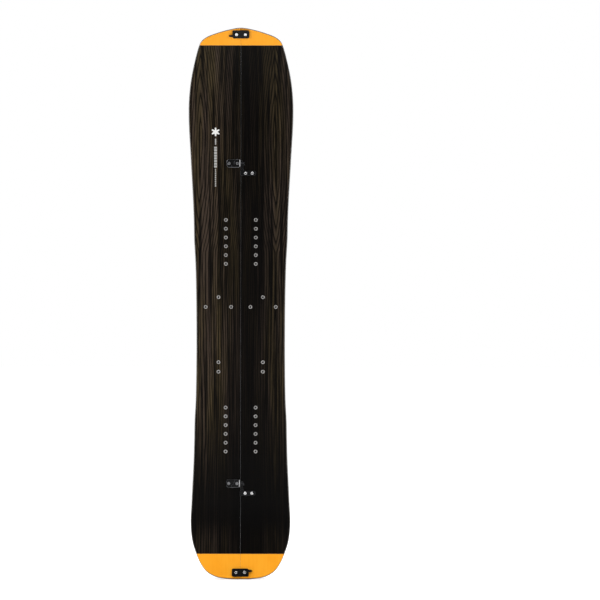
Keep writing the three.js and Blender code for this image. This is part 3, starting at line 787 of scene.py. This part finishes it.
def buildHalf(side):
    half = "left" if side < 0 else "right"

    def layer(name, piece, low, high, finish):
        return layerPiece(name, side, layers[piece], low, high, finishes[finish])

    laminateHigh = level(laminateLow + board["laminateThick"])
    coreBottom, edgeTop = level(coreLow), level(board["edgeHeight"])
    layer("base", "base", level(0), level(board["baseThick"]), "base")
    layer("lower_laminate", "lowerLaminate", level(laminateLow), laminateHigh, "laminate")
    layer("outer_edge", "outerEdge", level(0), edgeTop, "edge")
    layer("outer_sidewall", "outerSidewall", coreBottom, coreTop, "sidewall")
    layer("nose_spacer", "noseSpacer", coreBottom, coreTop, "spacer")
    layer("tail_spacer", "tailSpacer", coreBottom, coreTop, "spacer")
    tips = (board["tailTip"] + seamEdgeEnd, board["noseTip"] - seamEdgeEnd)
    seamStrip("seam_edge", side, board["edgeWidth"], level(0), edgeTop, tips, finishes["edge"])
    seamStrip("seam_sidewall", side, strip["sidewallWidth"], coreBottom, coreTop, board["coreEnds"],
              finishes["sidewall"])
    upper = layer("upper_laminate", "upperLaminate", upperLow, upperTop, "laminate")
    sheet = layer("topsheet", "topsheet", veneerLow, boardTop, "veneer")
    cutter = holeCutter([p for row in inserts.values() for p in row], side)
    drill(upper, cutter)
    drill(sheet, cutter)
    bpy.data.objects.remove(cutter)
    layer("nose_inlay", "noseInlay", veneerLow, boardTop, "orange")
    layer("tail_inlay", "tailInlay", veneerLow, boardTop, "orange")
    for row, points in inserts.items():
        rings = np.stack([insertSurface(p, side) for p in points])
        count, rows, around = rings.shape[:3]
        faces = [f for k in range(count) for f in ringFaces(rows, around, False, k * rows * around)]
        makeHalfPiece(row, side, rings, faces, finishes["insert"], insert["sharpAngle"])
    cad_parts[f"{half}_core"].data.materials[0] = finishes["core"]
    print(half, "half built")


for side in (-1, 1):
    buildHalf(side)


clips = {
    "nose": {"z": 778.6, "turned": False}, "tail": {"z": -779.6, "turned": True},
    "front": {"z": 404.7, "turned": False}, "rear": {"z": -520.7, "turned": False},
}
chamfers = {"hook": 0.42, "hookPad": 0.3, "studPad": 0.3, "hookBed": 0.5, "catch": 0.45,
            "segments": 2, "cornerAngle": 50}


def softened(nodeName, body, width, face="clip", cut="darkChamfer"):
    # A merged copy of the CAD piece whose hard corners are cut to chamfers
    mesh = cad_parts[nodeName].data.copy()
    mesh.name = f"{nodeName}_finished"
    bm = bmesh.new()
    bm.from_mesh(mesh)
    bmesh.ops.remove_doubles(bm, verts=bm.verts, dist=1e-6)
    bmesh.ops.dissolve_limit(bm, angle_limit=math.radians(1), verts=bm.verts, edges=bm.edges)
    bm.to_mesh(mesh)
    bm.free()
    mesh.materials.clear()
    for finish in (face, cut):
        mesh.materials.append(finishes[finish])
    obj = bpy.data.objects.new(f"{nodeName}_finished", mesh)
    bpy.context.scene.collection.objects.link(obj)
    bevel = obj.modifiers.new("chamfer", "BEVEL")
    bevel.width = width * mm
    bevel.segments = chamfers["segments"]
    bevel.limit_method = "ANGLE"
    bevel.angle_limit = math.radians(chamfers["cornerAngle"])
    bevel.material = 1  # the cut finish
    bevel.use_clamp_overlap = True
    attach(obj, body)
    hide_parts(nodeName)
    return obj


screw = {"head": 4.4, "headHeight": 2.2, "domeWidth": 1.4, "domeHeight": 1.2, "domeSteps": 9, "shank": 2.2,
         "socket": 1.75, "socketDepth": 1.4, "socketBevel": (0.25, 0.2), "socketPoint": 0.3,
         "flats": 0.93, "around": 72, "sharpAngle": 40}


def screwPiece(name, clip, x, along, seat, end, body, finish="screw"):
    # A pan head whose socket is a hexagon: the radius follows the flats as the angle turns
    head, tall, s, shank = screw["head"], screw["headHeight"], screw["socket"], screw["shank"]
    wide, deep = screw["domeWidth"], screw["domeHeight"]
    across, down = screw["socketBevel"]
    floor = tall - screw["socketDepth"]
    arch = np.linspace(0, math.pi / 2, screw["domeSteps"])
    dome = [(head - wide + wide * math.cos(a), tall - deep + deep * math.sin(a)) for a in arch]
    profile = [(0, end - seat), (shank, end - seat), (shank, 0), (head, 0)] + dome
    profile += [(s + across, tall), (s, tall - down), (s, floor), (0, floor - screw["socketPoint"])]

    def hexagon(radius, up, angle):
        inSocket = (np.abs(radius - s) < 0.01) & (up > 0)
        flat = np.mod(angle, math.pi / 3) - math.pi / 6
        return np.where(inSocket, s * screw["flats"] / np.cos(flat), radius)
    local = lathe(profile, screw["around"], (x, along), seat, hexagon)
    verts = onTopsheet(local, clips[clip]["z"], clips[clip]["turned"])
    faces = ringFaces(len(profile), screw["around"], False)
    return makePiece(name, verts, faces, finishes[finish], body, screw["sharpAngle"])


# screws on the clips' own axes: across and along, then the heights of the head's seat and the tip
tipClip = {"reach": 12.7, "pivotSeat": 5.4, "studSeat": 5.8, "tip": -2.3}
seamClip = {"pivotX": -10.1, "bedX": -34.1, "catchX": (13.3, 32.7), "catchDrop": -28.0,
            "pivotSeat": 5.6, "plateSeat": 2.9, "tip": -3.9}
for end, pivotHalf, studHalf in (("nose", "right_half", "left_half"), ("tail", "left_half", "right_half")):
    softened(f"{end}_hook", f"{end}_hook", chamfers["hook"])
    softened(f"{end}_hook_pad", pivotHalf, chamfers["hookPad"])
    softened(f"{end}_stud_pad", studHalf, chamfers["studPad"])
    screwPiece(f"{end}_pivot_screw", end, tipClip["reach"], 0, tipClip["pivotSeat"], tipClip["tip"], pivotHalf)
    screwPiece(f"{end}_stud_screw", end, -tipClip["reach"], 0, tipClip["studSeat"], tipClip["tip"], studHalf)
for where in ("front", "rear"):
    softened(f"{where}_hook", f"{where}_hook", chamfers["hook"], "hook")
    softened(f"{where}_hook_bed", "left_half", chamfers["hookBed"], "bed", "chamfer")
    softened(f"{where}_catch", "right_half", chamfers["catch"])
    for name, x, seat in (("pivot", seamClip["pivotX"], seamClip["pivotSeat"]),
                          ("bed", seamClip["bedX"], seamClip["plateSeat"])):
        # the pivot and bed screws take the darker copy of the screw steel, a painted shade
        screwPiece(f"{where}_{name}_screw", where, x, 0, seat, seamClip["tip"], "left_half", "paintedShadeScrew")
    for name, x in zip(("inner", "outer"), seamClip["catchX"]):
        screwPiece(f"{where}_catch_screw_{name}", where, x, seamClip["catchDrop"], seamClip["plateSeat"],
                   seamClip["tip"], "right_half")
print("clips built")


studio = {
    "lens": 300.0, "sensor": 36.0, "viewWidth": 1.736, "centre": (0.1713, 0.0101), "roll": -0.08,
    "farClip": 100,
    "floorSize": 90.0, "floorFront": 6.0, "floorColour": (0.93, 0.93, 0.93, 1), "floorRoughness": 0.9,
    "backdrop": 1.0, "fill": 0.10, "sun": 3.35, "sunSpread": 60,
}
# where each light stands, what it aims at, its width and height, and its watts
softboxes = {
    "leftSoftbox": ((-3.2, -2.6, 1.6), (0, 0, 0.1), (1.6, 2.6), 72),
    "rightSoftbox": ((3.2, -2.6, 1.6), (0, 0, 0.1), (1.6, 2.6), 58),
    "backLeftSoftbox": ((-3.0, 2.8, 1.8), (0, 0, 0), (1.8, 2.2), 80),
    "backRightSoftbox": ((3.0, 2.8, 1.8), (0, 0, 0), (1.8, 2.2), 80),
}


def softLight(name, location, target, size, power):
    light = bpy.data.lights.new(name, "AREA")
    light.shape = "RECTANGLE"
    light.size, light.size_y = size
    light.energy = power
    obj = bpy.data.objects.new(name, light)
    bpy.context.scene.collection.objects.link(obj)
    obj.location = location
    aim = np.array(target) - np.array(location)
    obj.rotation_euler = Vector(aim).to_track_quat("-Z", "Y").to_euler()


def buildFloor(scene):
    # One wide face at the board's lowest point
    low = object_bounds()[0][2]
    mesh = bpy.data.meshes.new("floor")
    half, front = studio["floorSize"] / 2, studio["floorFront"]
    corners = [(-half, -front, low), (half, -front, low), (half, half, low), (-half, half, low)]
    mesh.from_pydata(corners, [], [(0, 1, 2, 3)])
    floor = bpy.data.objects.new("floor", mesh)
    scene.collection.objects.link(floor)
    material, _, shader, _ = newMaterial("paleFloor")
    shader.inputs["Base Color"].default_value = studio["floorColour"]
    shader.inputs["Roughness"].default_value = studio["floorRoughness"]
    mesh.materials.append(material)
    floor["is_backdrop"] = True


def buildLights(scene):
    # A white backdrop that adds little light of its own, four softboxes and a wide sun overhead
    world = bpy.data.worlds.new("paleStudio")
    scene.world = world
    world.use_nodes = True
    tree = world.node_tree
    seen = tree.nodes.new("ShaderNodeLightPath").outputs["Is Camera Ray"]
    shade = mixColour(tree, seen, (studio["fill"],) * 3, (studio["backdrop"],) * 3)
    tree.links.new(shade, tree.nodes["Background"].inputs["Color"])
    for name, settings in softboxes.items():
        softLight(name, *settings)
    sun = bpy.data.lights.new("overheadSun", "SUN")
    sun.energy = studio["sun"]
    sun.angle = math.radians(studio["sunSpread"])
    scene.collection.objects.link(bpy.data.objects.new("overheadSun", sun))


def buildCamera(scene):
    # Square to the topsheet, far enough off for the lens to take in the view's width
    camera = bpy.data.objects.new("camera", bpy.data.cameras.new("camera"))
    scene.collection.objects.link(camera)
    camera.data.lens = studio["lens"]
    camera.data.sensor_width = studio["sensor"]
    camera.data.clip_end = studio["farClip"]
    distance = studio["viewWidth"] / studio["sensor"] * studio["lens"]
    camera.location = (studio["centre"][0], -distance, studio["centre"][1])
    camera.rotation_euler = (math.pi / 2, math.radians(studio["roll"]), 0)
    scene.camera = camera
    scene.view_settings.view_transform = "Standard"


for build in (buildFloor, buildLights, buildCamera):
    build(bpy.context.scene)
bpy.context.view_layer.update()


print("scene ready")
